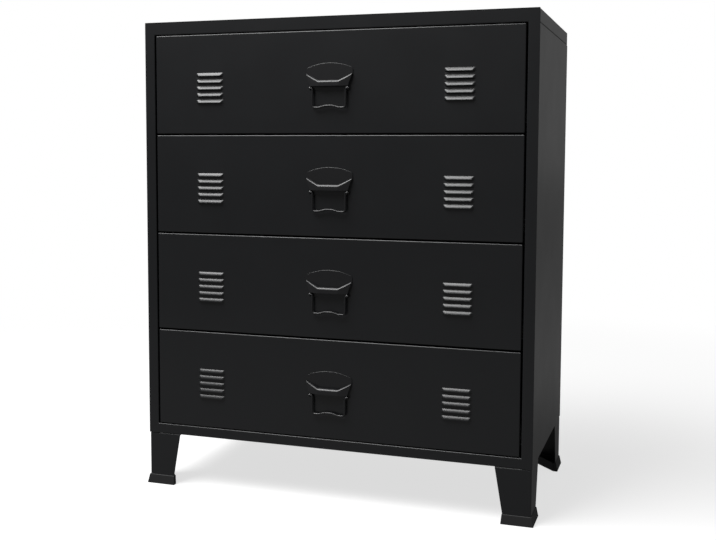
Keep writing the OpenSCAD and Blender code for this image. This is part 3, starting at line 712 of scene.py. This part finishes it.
def pierced_ear(bm, pivot, plate_y, x0, x1):
    """A lug with a round end and a bore for the bail's pin, from x0 to x1."""
    steps = 24
    hole = [(pivot.y + c, pivot.z + s) for c, s in circle(BAR_R + EAR_FIT, steps)]
    rim = []
    back = plate_y - pivot.y
    for c, s in circle(1, steps):
        # Round in front of the pin, and square behind it up to the plate
        scale = EAR_R if c <= 0 else min(back / c, EAR_R / abs(s) if s else back / c)
        rim.append((pivot.y + scale * c, pivot.z + scale * s))
    loops = []
    for x in (x0, x1):
        loops.append([bm.verts.new((x, y, z)) for y, z in hole])
        loops.append([bm.verts.new((x, y, z)) for y, z in rim])
    faces = []
    for first, second in ((0, 1), (1, 3), (3, 2), (2, 0)):
        faces += bridge(bm, loops[first], loops[second])
    bmesh.ops.recalc_face_normals(bm, faces=faces)


def handle_plate(i):
    """Back plate with an arched top, pierced ears for the bail and threaded studs behind."""
    centre = front_centre(i)
    low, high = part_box(f"handle_plate_{i}")
    bottom, top = low.z - centre.z, high.z - centre.z
    front = centre.y - PLATE_T
    arch = [(x, top - ARCH_R + math.sqrt(ARCH_R ** 2 - x * x))
            for x in (PLATE_HALF_W * (1 - n / 6) for n in range(13))]
    points = ([(-PLATE_LOW_HALF_W, bottom), (PLATE_LOW_HALF_W, bottom), (PLATE_HALF_W, PLATE_SHOULDER_Z)]
              + arch + [(-PLATE_HALF_W, PLATE_SHOULDER_Z)])
    radii = ([PLATE_LOW_CORNER_R] * 2 + [0, PLATE_TOP_CORNER_R] + [0] * (len(arch) - 2)
             + [PLATE_TOP_CORNER_R, 0])
    corners = [Vector((x, 0, z)) for x, z in points]
    outline = [p + Vector((0, 0, centre.z)) for p in rounded(corners, radii)]
    bm = closed_between([(p.x, front, p.z) for p in outline], [(p.x, centre.y, p.z) for p in outline])
    rim = [e for e in bm.edges if all(abs(v.co.y - front) < TOUCH for v in e.verts)]
    bmesh.ops.bevel(bm, geom=rim, offset=PLATE_EDGE_R, segments=3, profile=0.5, affect="EDGES")
    pivot = centre + Vector((0, -PIVOT_OUT, -PIVOT_DROP))
    ear_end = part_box(f"handle_bail_{i}")[1].x - EAR_END_GAP
    for s in (-1, 1):
        x0, x1 = sorted((s * (ear_end - EAR_T), s * ear_end))
        pierced_ear(bm, pivot, centre.y - EAR_ROOT, x0, x1)
        middle = Vector((s * STUD_X, (high.y + centre.y) / 2, centre.z + STUD_Z))
        bmesh.ops.create_cone(bm, cap_ends=True, segments=20, radius1=STUD_R, radius2=STUD_R,
                              depth=high.y - centre.y,
                              matrix=Matrix.Translation(middle) @ Matrix.Rotation(math.pi / 2, 4, "X"))
    piece = object_from(bm, f"arched_plate_{i}", HANDLE_COAT)
    level(piece)
    install(piece, f"drawer_{i}", "handle_coat", f"handle_plate_{i}")


def eased_ramp(t, ease):
    """Nothing below -ease, t above ease, and a smooth bend between."""
    if t <= -ease:
        return 0.0
    return t if t >= ease else (t + ease) ** 2 / (4 * ease)


def handle_hood(i):
    """Pressed hood: three facets in plan, under a rolled shelf that rises from its middle to its ends."""
    centre = front_centre(i)
    low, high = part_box(f"handle_hood_{i}")
    end_x, out, back = high.x, centre.y - low.y, centre.y - high.y
    low_z, end_z = low.z - centre.z, high.z - centre.z
    mid = HOOD_MID_HALF_W
    slope, rise = (out - HOOD_END_OUT) / (end_x - mid), (end_z - HOOD_MID_TOP) / (end_x - mid)
    ease = HOOD_FACET_EASE

    def edge_x(z):
        """Where the hood's slanted end lies at a height."""
        return PLATE_LOW_HALF_W + (end_x - PLATE_LOW_HALF_W) * (z - low_z) / (end_z - low_z)

    def profile(station):
        """Points from the lower edge up the face, over the roll and back to the plate."""
        top = HOOD_MID_TOP + rise * eased_ramp(abs(station) - mid, ease)
        depth = out - slope * eased_ramp(abs(station) - mid, ease) - back
        roll = min(HOOD_ROLL_R, depth - HOOD_SHELF_MIN)
        steps = [(low_z, 0), ((low_z + top - roll) / 2, 0)]
        for turn in spread(0, math.pi / 2, 7):
            steps.append((top - roll + roll * math.sin(turn), roll * (1 - math.cos(turn))))
        steps.append((top, None))
        points = []
        for z, inset in steps:
            x = abs(station)
            if x > mid:
                x = mid + (x - mid) * (edge_x(z) - mid) / (edge_x(top) - mid)
            stands = back if inset is None else out - slope * eased_ramp(x - mid, ease) - inset
            points.append(centre + Vector((math.copysign(x, station), -stands, z)))
        return points

    half = spread(mid - ease, mid + ease, 5)
    half += spread(mid + HOOD_SIDE_FROM, end_x - HOOD_SIDE_TO, 3) + [end_x]
    bm = bmesh.new()
    columns = [[bm.verts.new(p) for p in profile(station)] for station in [-x for x in half[::-1]] + half]
    for one, two in zip(columns, columns[1:]):
        for r in range(len(one) - 1):
            bm.faces.new((one[r], two[r], two[r + 1], one[r + 1]))
    for column, s in ((columns[0], -1), (columns[-1], 1)):
        foot_corner = bm.verts.new(centre + Vector((s * edge_x(low_z), -back, low_z)))
        end = [column[0], foot_corner] + column[:0:-1]
        bm.faces.new(end if s > 0 else end[::-1])
        ends = [e for e in bm.edges if set(e.verts) <= set(column) and len(e.link_faces) == 2]
        bmesh.ops.bevel(bm, geom=ends, offset=HOOD_END_R, segments=3, profile=0.5, affect="EDGES")
    piece = object_from(bm, f"pressed_hood_{i}", HANDLE_COAT)
    thicken(piece, HOOD_SHEET, HOOD_EDGE, even=False)     # an even one spikes at the tapered ends
    install(piece, f"drawer_{i}", "handle_coat", f"handle_hood_{i}")


def bail(i):
    """Round bar bent into a pull: two pins, two legs and a lower bar with a raised middle."""
    low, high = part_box(f"handle_bail_{i}")
    y = (low.y + high.y) / 2
    pivot_z = front_centre(i).z - PIVOT_DROP
    bar_z = low.z + BAR_R
    half = [Vector((x, y, z)) for x, z in (
        (high.x, pivot_z), (BAIL_HALF_W, pivot_z), (BAIL_HALF_W, bar_z), (BAIL_FLAT_X, bar_z),
        (BAIL_PEAK_X, bar_z + BAIL_RISE))]
    radii = [0, BAIL_SHOULDER_R, BAIL_CORNER_R, BAIL_RISE_R, BAIL_PEAK_R]
    other = [Vector((-p.x, p.y, p.z)) for p in half[::-1]]
    path = rounded(half + other, radii + radii[::-1], steps=8)
    piece = object_from(tube(path, BAR_R, 20), f"bent_bail_{i}", HANDLE_COAT)
    soften(piece, BAR_EDGE, angle=60)       # the pins' ends only
    install(piece, f"bail_{i}", "handle_coat", f"handle_bail_{i}")


# ------------------------------------ fixings

SCREW_R, SCREW_HEAD_R, SCREW_HEAD_T = 1.9 * MM, 3.5 * MM, 1.2 * MM
SCREW_TIP_R, SCREW_TIP_L = 0.7 * SCREW_R, 0.5 * MM
PANEL_SCREW_L, RUNNER_SCREW_L, TRAY_SCREW_L = 4 * MM, 5 * MM, 6 * MM
RECESS_ARM, RECESS_HALF_W = 1.9 * MM, 0.5 * MM      # of the cross in a screw's head
BOLT_R, BOLT_HEAD_R, BOLT_HEAD_T = 3 * MM, 5.5 * MM, 4 * MM
BOLT_TIP_R, BOLT_TIP_L = 0.75 * BOLT_R, 0.6 * MM
BOLT_END = 1 * MM           # of a bolt past its nut
NUT_T, SMALL_NUT_R = 3.2 * MM, 4 * MM
RIVET_HEAD_T = 1 * MM
RIVET_MAX_W = 5 * MM        # what is narrower across the cabinet is a rivet


def turned(profile):
    """A shape turned on a lathe about Z, from (radius, z) points that go up the outside."""
    bm = bmesh.new()
    sides = 24
    rings = []
    for radius, z in profile:
        if radius == 0:
            rings.append([bm.verts.new((0, 0, z))] * sides)
        else:
            rings.append([bm.verts.new((x, y, z)) for x, y in circle(radius, sides)])
    for one, two in zip(rings, rings[1:]):
        bridge(bm, one, two)
    return bm


def dome(radius, height):
    """Profile of a low domed head that stands on z = 0, upright over its lowest quarter."""
    points = [(radius, 0)]
    for turn in spread(0, math.pi / 2, 6)[:-1]:
        points.append((radius * math.cos(turn), height * (0.25 + 0.75 * math.sin(turn))))
    return points + [(0, height)]


def shank(radius, length, tip_r, tip_l):
    """Profile of a shank that hangs from z = 0, narrower at its tip."""
    return [(0, -length), (tip_r, -length), (radius, tip_l - length), (radius, 0)]


def pan_screw(name, length, nut_top=None):
    """Cross-recessed pan head on z = 0 with its shank below, and a nut lower down if it has one."""
    profile = shank(SCREW_R, length, SCREW_TIP_R, SCREW_TIP_L) + dome(SCREW_HEAD_R, SCREW_HEAD_T)
    piece = object_from(turned(profile), name, ZINC)
    arm, half = RECESS_ARM, RECESS_HALF_W
    cross = [(half, half), (half, arm), (-half, arm)]
    for _ in range(3):
        cross += [(-y, x) for x, y in cross[-3:]]
    cut(piece, prism(cross, SCREW_HEAD_T * 0.4, SCREW_HEAD_T * 2))
    if nut_top is not None:
        add_hexagon(piece, SMALL_NUT_R, nut_top - NUT_T, nut_top)
    return piece


def add_hexagon(piece, radius, z0, z1):
    """Adds a nut or a bolt's head, with its corners turned down at both ends."""
    bm = bmesh.new()
    bm.from_mesh(piece.data)
    drop, end_r = radius * 0.09, radius * 0.9
    rings = []
    for r, z in ((end_r, z0), (radius, z0 + drop), (radius, z1 - drop), (end_r, z1)):
        rings.append([bm.verts.new((x, y, z)) for x, y in circle(r, 6)])
    faces = [bm.faces.new(rings[0][::-1]), bm.faces.new(rings[-1])]
    for one, two in zip(rings, rings[1:]):
        faces += bridge(bm, one, two)
    for face in faces:
        face.smooth = False
    bm.to_mesh(piece.data)
    bm.free()


def bolt(name):
    """Hexagon bolt with its head on z = 0, its shank below and its nut at the far side of the sheets."""
    low, high = islands("leg_bolts")[0]
    shank_l = high.z - low.z - BOLT_HEAD_T
    profile = shank(BOLT_R, shank_l, BOLT_TIP_R, BOLT_TIP_L) + [(0, 0)]
    piece = object_from(turned(profile), name, ZINC)
    add_hexagon(piece, BOLT_HEAD_R, 0, BOLT_HEAD_T)
    nut_end = shank_l - BOLT_END
    add_hexagon(piece, BOLT_HEAD_R, -nut_end, NUT_T - nut_end)
    return piece


def nut(name):
    """Hexagon nut that stands on z = 0, bored for a stud."""
    piece = object_from(bmesh.new(), name, ZINC)
    add_hexagon(piece, SMALL_NUT_R, 0, NUT_T)
    return cut(piece, prism(circle(STUD_R, 24), -NUT_T, 2 * NUT_T))


def rivet(name):
    """Two low domes on a short shank; the joined sheets lie between z = 0 and the lower dome."""
    low, high = next(box for box in islands("drawer_fasteners_1") if box[1].x - box[0].x < RIVET_MAX_W)
    grip = high.x - low.x - 2 * RIVET_HEAD_T
    upper = dome(SCREW_HEAD_R, RIVET_HEAD_T)
    lower = [(r, -grip - z) for r, z in upper[::-1]]
    return object_from(turned(lower + [(SCREW_R, -grip), (SCREW_R, 0)] + upper), name, ZINC)


def islands(node):
    """Lowest and highest corner of each separate solid in a node."""
    bm = bmesh.new()
    bm.from_mesh(frame["nodes"][node].data)
    bmesh.ops.remove_doubles(bm, verts=bm.verts, dist=TOUCH / 2)
    left, boxes = set(bm.verts), []
    while left:
        found, edge = set(), [left.pop()]
        while edge:
            vert = edge.pop()
            found.add(vert)
            near = [v for v in (e.other_vert(vert) for e in vert.link_edges) if v in left]
            edge += near
            left.difference_update(near)
        boxes.append((Vector([min(v.co[k] for v in found) for k in range(3)]),
                      Vector([max(v.co[k] for v in found) for k in range(3)])))
    bm.free()
    return sorted(boxes, key=lambda box: tuple(round(c, 5) for c in box[0]))


def fixings_tree(stock):
    """Geometry nodes that put the right fixing on each point, facing its way and turned at random."""
    tree, given = new_geometry_tree("fixings", "Fixings", {"Places": "Geometry", "Seed": "Int"})
    kinds = add_node(tree, "GeometryNodeCollectionInfo", {"Collection": stock, "Separate Children": True,
                                                          "Reset Children": True})
    kind = add_node(tree, "GeometryNodeInputNamedAttribute", {"Name": "kind"}, data_type="INT")
    facing = add_node(tree, "GeometryNodeInputNamedAttribute", {"Name": "facing"}, data_type="FLOAT_VECTOR")
    aim = add_node(tree, "FunctionNodeAlignRotationToVector", links={"Vector": (facing, "Attribute")},
                   axis="Z")
    placed = add_node(tree, "GeometryNodeInstanceOnPoints", {"Pick Instance": True},
                      {"Points": (given, "Places"), "Instance": (kinds, "Instances"),
                       "Instance Index": (kind, "Attribute"), "Rotation": (aim, "Rotation")})
    spin = add_node(tree, "FunctionNodeRandomValue", links={"Seed": (given, "Seed")}, data_type="FLOAT")
    spin.inputs[3].default_value = 2 * math.pi      # the upper limit of a plain number
    about = add_node(tree, "ShaderNodeCombineXYZ", links={"Z": (spin, 1)})
    turned_in = add_node(tree, "GeometryNodeRotateInstances", {"Local Space": True},
                         {"Instances": (placed, "Instances"), "Rotation": (about, "Vector")})
    real = add_node(tree, "GeometryNodeRealizeInstances", links={"Geometry": (turned_in, "Instances")})
    finish = add_node(tree, "GeometryNodeSetMaterial", {"Material": ZINC}, {"Geometry": (real, "Geometry")})
    add_node(tree, "NodeGroupOutput", links={"Fixings": (finish, "Geometry")})
    return tree


def fixing_at(node, low, high):
    """Kind, place and facing of the fixing that fills a box; its place is where its head sits."""
    size, middle = high - low, (low + high) / 2
    outward = math.copysign(1, middle.x)
    inner = low.x if outward > 0 else high.x
    back, inwards = Vector((0, 1, 0)), Vector((-outward, 0, 0))
    if node == "leg_bolts":
        return "bolt", Vector((middle.x, middle.y, low.z + BOLT_HEAD_T)), Vector((0, 0, -1))
    if node == "panel_screws":
        return "panel_screw", Vector((middle.x, high.y - SCREW_HEAD_T, middle.z)), back
    if node == "runner_screws":
        return "runner_screw", Vector((inner + outward * SCREW_HEAD_T, middle.y, middle.z)), inwards
    if size.x < RIVET_MAX_W:
        return "rivet", Vector((inner + outward * RIVET_HEAD_T, middle.y, middle.z)), inwards
    if size.y > NUT_T + MM:
        return "tray_screw", Vector((middle.x, high.y - SCREW_HEAD_T, middle.z)), back
    return "nut", Vector((middle.x, low.y, middle.z)), back


def fixings():
    """Screws, bolts, nuts and rivets, each made once and put on the places of the frame's own."""
    made = [bolt("bolt"), nut("nut"), rivet("rivet"), pan_screw("panel_screw", PANEL_SCREW_L),
            pan_screw("runner_screw", RUNNER_SCREW_L), pan_screw("tray_screw", TRAY_SCREW_L, -2 * SHEET)]
    kinds = sorted(piece.name for piece in made)        # a collection hands them out in this order
    stock = bpy.data.collections.new("stock_of_fixings")
    for piece in made:
        stock.objects.link(piece)
    tree = fixings_tree(stock)
    nodes = [("panel_screws", "root"), ("runner_screws", "root"), ("leg_bolts", "root")]
    nodes += [(f"drawer_fasteners_{i}", f"drawer_{i}") for i in DRAWERS]
    for seed, (node, body) in enumerate(nodes):
        found = [fixing_at(node, low, high) for low, high in islands(node)]
        mesh = bpy.data.meshes.new("plated_" + node)
        mesh.from_pydata([place for kind, place, facing in found], [], [])
        which = mesh.attributes.new("kind", "INT", "POINT")
        ways = mesh.attributes.new("facing", "FLOAT_VECTOR", "POINT")
        for n, (kind, place, facing) in enumerate(found):
            which.data[n].value = kinds.index(kind)
            ways.data[n].vector = facing
        piece = run_tree(add_object("plated_" + node, mesh), tree, {"Seed": seed})
        install(piece, body, "zinc", node)
    for piece in made:
        bpy.data.objects.remove(piece)
    bpy.data.collections.remove(stock)
    bpy.data.node_groups.remove(tree)


# ------------------------------------ what keeps its CAD shape

def finish_nodes():
    """Every node that still shows gets its own finish."""
    slots = {p["node"]: p["material_slot"] for p in frame["record"]["subparts"]}
    for name, node in frame["nodes"].items():
        material = BY_SLOT[slots[name]]
        if node.data.materials:
            for slot in node.material_slots:
                slot.material = material
        else:
            node.data.materials.append(material)


# ------------------------------------ studio

def camera():
    """The photograph's view: from the right, a little over the middle of the object, a touch wide."""
    data = bpy.data.cameras.new("camera")
    eye = add_object("camera", data)
    image_w, image_h = 716, 540
    focal_px, centre_row = 1012.7, 232
    data.sensor_width = 36
    data.lens = focal_px / image_w * data.sensor_width
    data.shift_y = (centre_row - image_h / 2) / image_w
    place = Vector((650.6, -1998.0, 675.3)) * MM
    yaw, pitch, roll = math.radians(-18.28), math.radians(-4.47), math.radians(0.24)
    forward = Vector((math.sin(yaw) * math.cos(pitch), math.cos(yaw) * math.cos(pitch), math.sin(pitch)))
    right = Vector((math.cos(yaw), -math.sin(yaw), 0))
    up = right.cross(forward)
    turn = Matrix((right, up, -forward)).transposed().to_4x4() @ Matrix.Rotation(roll, 4, "Z")
    eye.matrix_world = Matrix.Translation(place) @ turn
    data.clip_start, data.clip_end = 0.05, 100
    bpy.context.scene.camera = eye


def softbox(name, place, aim, width, height, power):
    """A rectangular area lamp that faces a point."""
    data = bpy.data.lights.new(name, "AREA")
    data.shape = "RECTANGLE"
    data.size, data.size_y = width, height
    data.energy = power
    lamp = add_object(name, data)
    lamp.location = Vector(place)
    lamp.rotation_euler = (Vector(aim) - Vector(place)).to_track_quat("-Z", "Y").to_euler()


def seen_share(tree, glossy):
    """How much of the pale surround a ray sees: all for the camera and through glass, a part in gloss."""
    path = add_node(tree, "ShaderNodeLightPath")
    clear = add_node(tree, "ShaderNodeMath", operation="ADD",
                     links={0: (path, "Is Camera Ray"), 1: (path, "Is Transmission Ray")})
    return add_node(tree, "ShaderNodeMath", {1: glossy}, {0: (path, "Is Glossy Ray"), 2: (clear, 0)},
                    operation="MULTIPLY_ADD", use_clamp=True)


def studio():
    """A pale floor, a white surround and a large softbox overhead, in front and to the left."""
    gloss_share = 0.12      # the black coat stands in a dim room, so its gloss sees an eighth of the white
    white_from, white_all = 1.0, 2.4        # metres from the middle over which the floor turns plain white
    floor_reach = 30
    material, tree, place = new_material("pale_floor")
    distance = add_node(tree, "ShaderNodeVectorMath", links={0: place["Vector"]}, operation="LENGTH")
    far = add_node(tree, "ShaderNodeMapRange", {"From Min": white_from, "From Max": white_all},
                   {"Value": (distance, "Value")}, interpolation_type="SMOOTHSTEP")
    dark = add_node(tree, "ShaderNodeBsdfDiffuse", {"Color": (0.12, 0.12, 0.12, 1)})
    pale = add_node(tree, "ShaderNodeBsdfDiffuse", {"Color": (0.4, 0.4, 0.4, 1)})
    lift = add_node(tree, "ShaderNodeEmission", {"Strength": 0.7})
    white = add_node(tree, "ShaderNodeEmission", {"Strength": 1.0})
    near = add_node(tree, "ShaderNodeAddShader", links={0: (pale, "BSDF"), 1: (lift, "Emission")})
    surface = add_node(tree, "ShaderNodeMixShader", links={0: (far, "Result"), 1: (near, 0), 2: (white, 0)})
    share = seen_share(tree, gloss_share)
    floor_shader = add_node(tree, "ShaderNodeMixShader",
                            links={0: (share, 0), 1: (dark, "BSDF"), 2: (surface, 0)})
    add_node(tree, "ShaderNodeOutputMaterial", links={"Surface": (floor_shader, 0)})
    bm = bmesh.new()
    bmesh.ops.create_grid(bm, x_segments=1, y_segments=1, size=floor_reach)
    floor = object_from(bm, "floor", material, smooth=False)

    world = bpy.context.scene.world or bpy.data.worlds.new("surround")
    bpy.context.scene.world = world
    world.use_nodes = True
    tree = world.node_tree
    tree.nodes.clear()
    dim = add_node(tree, "ShaderNodeBackground", {"Color": (1, 1, 1, 1), "Strength": 0.12})
    white = add_node(tree, "ShaderNodeBackground", {"Color": (1, 1, 1, 1), "Strength": 1.0})
    share = seen_share(tree, gloss_share)
    both = add_node(tree, "ShaderNodeMixShader", links={0: (share, 0), 1: (dim, 0), 2: (white, 0)})
    add_node(tree, "ShaderNodeOutputWorld", links={"Surface": (both, 0)})

    softbox("overhead_softbox", place=(-1.1, -1.25, 3.0), aim=(0, -0.2, 0.5), width=2.5, height=1.65,
            power=155)


finish_nodes()
top_cover()
face_frame()
for side in ("left", "right"):
    side_sheet(side)
    for end in ("front", "rear"):
        leg(f"leg_{end}_{side}")
        foot(f"foot_{end}_{side}")
hood_patch = louvre_patch()
louvre_tree = louvred_tree(hood_patch)
for i in DRAWERS:
    pressed_front(i, louvre_tree)
    tray(i)
    handle_plate(i)
    handle_hood(i)
    bail(i)
bpy.data.objects.remove(hood_patch)
bpy.data.node_groups.remove(louvre_tree)
fixings()
camera()
studio()

settings = bpy.context.scene.view_settings
settings.view_transform = "Standard"
